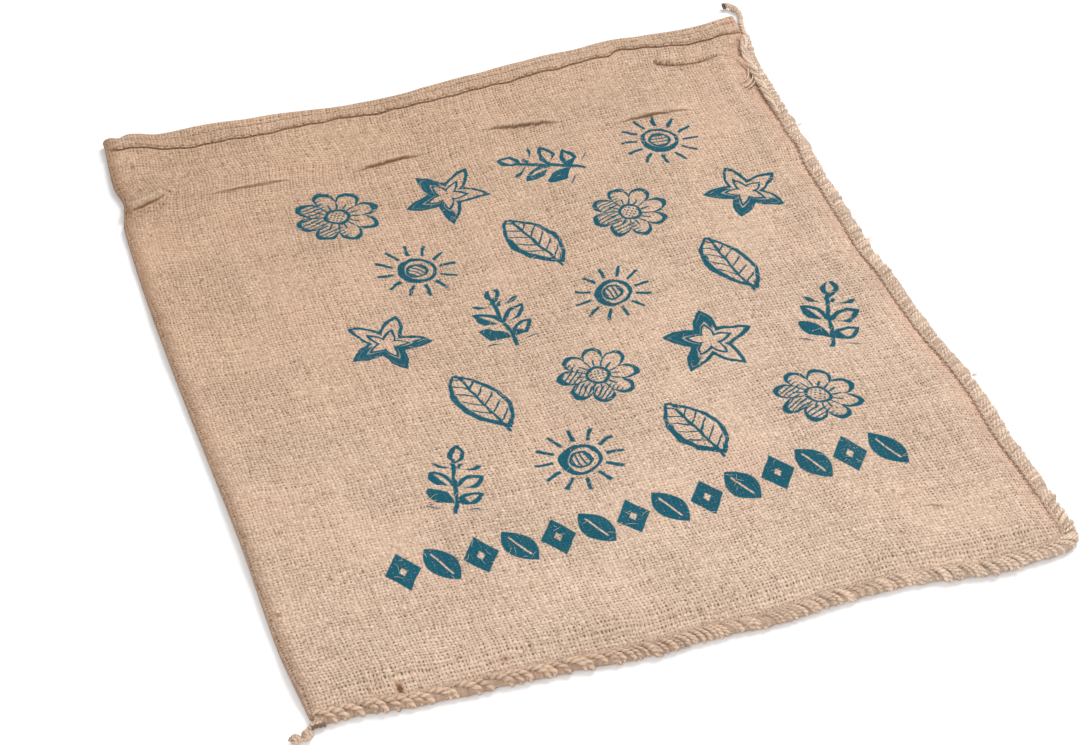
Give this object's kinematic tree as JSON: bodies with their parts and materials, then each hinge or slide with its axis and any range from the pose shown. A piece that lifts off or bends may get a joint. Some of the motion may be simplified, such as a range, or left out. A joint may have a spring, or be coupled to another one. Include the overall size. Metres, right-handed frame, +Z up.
{
  "type": "hessian sack",
  "caption": "Flat hessian sack, open at its hemmed mouth, folded at one side and closed with rope-like overedge twine along the other side and bottom.",
  "frame": {"origin": "centre of the sack's footprint, on the surface it lies on", "axes": "+X across the sack towards the sewn side, +Y from the bottom seam towards the mouth, +Z up"},
  "size_m": [0.472, 0.5874, 0.0131],
  "materials": {
    "hessian": "open plain-woven jute, dry and slightly hairy, printed in blue-green ink",
    "twine": "soft twisted jute twine"
  },
  "bodies": {
    "root": {"sack_cloth": "hessian", "overedge_side": "twine", "overedge_bottom": "twine", "corner_knot": "twine", "twine_tail": "twine", "tail_knot": "twine"}
  },
  "joints": []
}
